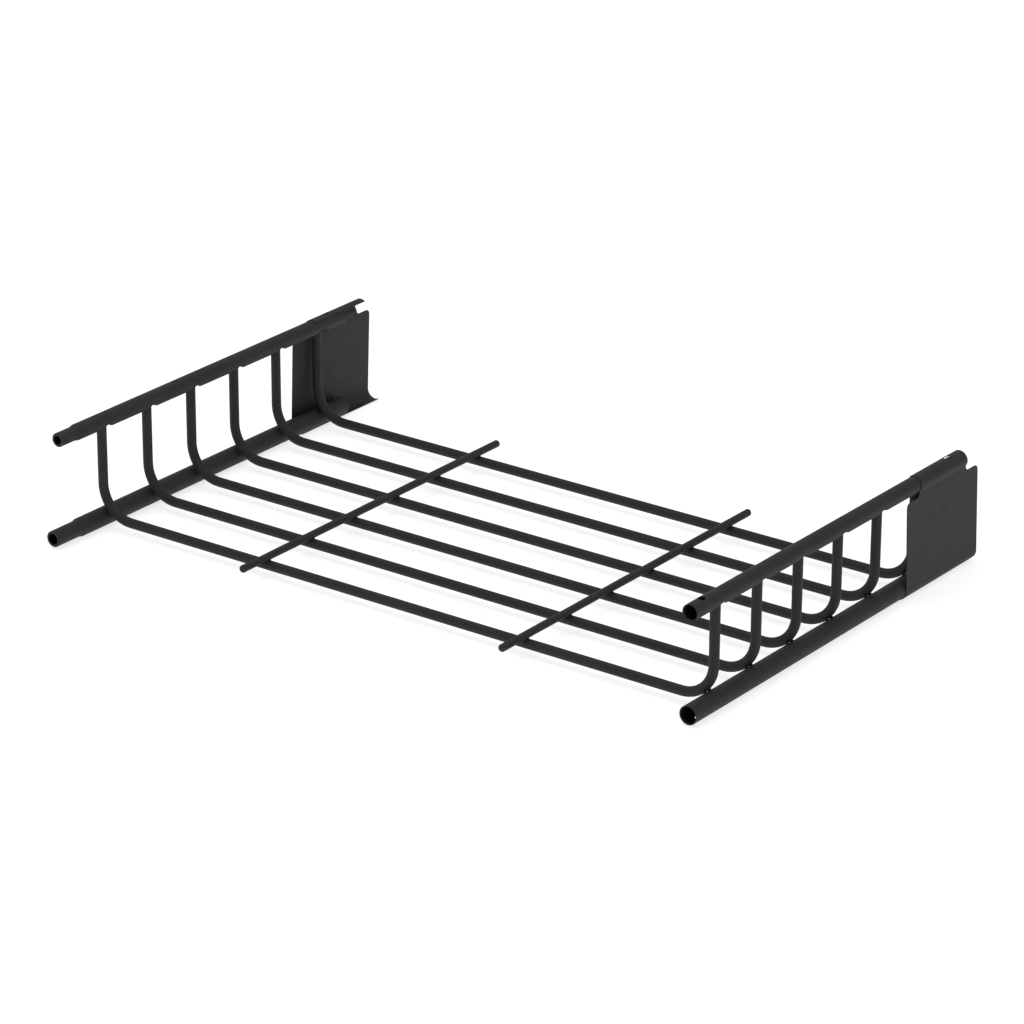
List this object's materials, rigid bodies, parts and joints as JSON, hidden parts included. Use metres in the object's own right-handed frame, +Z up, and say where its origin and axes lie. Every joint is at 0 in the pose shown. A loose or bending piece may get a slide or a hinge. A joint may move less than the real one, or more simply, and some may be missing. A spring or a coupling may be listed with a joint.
{
  "type": "roof cargo basket section",
  "caption": "Add-on section of a tubular roof cargo basket: bent floor bars between side rails with swaged and open ends, and hooked side plates that cover the joint.",
  "frame": {"origin": "bottom centre of the whole section: middle of its overall length and width, at the underside of the side plates' curls", "axes": "+X across the vehicle to the right-hand rail, +Y along the rails towards the side plates, +Z up"},
  "size_m": [0.9424, 0.654, 0.1512],
  "materials": {
    "bars_black": "satin powder coat",
    "rails_black": "satin powder coat",
    "plates_black": "satin powder coat",
    "welds_black": "satin powder coat over weld beads"
  },
  "bodies": {
    "welded_frame": {"u_bar_1": "bars_black", "u_bar_2": "bars_black", "u_bar_3": "bars_black", "u_bar_4": "bars_black", "u_bar_5": "bars_black", "u_bar_6": "bars_black", "floor_stringer_left": "bars_black", "floor_stringer_right": "bars_black", "top_rail_left": "rails_black", "top_rail_right": "rails_black", "lower_rail_left": "rails_black", "lower_rail_right": "rails_black", "lower_rail_welds_left": "welds_black", "lower_rail_welds_right": "welds_black", "seat_welds_left": "welds_black", "seat_welds_right": "welds_black", "stringer_welds_left": "welds_black", "stringer_welds_right": "welds_black"},
    "side_plate_left": {"side_plate_left": "plates_black"},
    "side_plate_right": {"side_plate_right": "plates_black"}
  },
  "joints": [
    {"name": "side_plate_left_slide", "type": "slide", "parent": "welded_frame", "child": "side_plate_left", "axis": [0, 1, 0], "range_m": [-0.42, 0.05]},
    {"name": "side_plate_right_slide", "type": "slide", "parent": "welded_frame", "child": "side_plate_right", "axis": [0, 1, 0], "range_m": [-0.42, 0.05]}
  ]
}
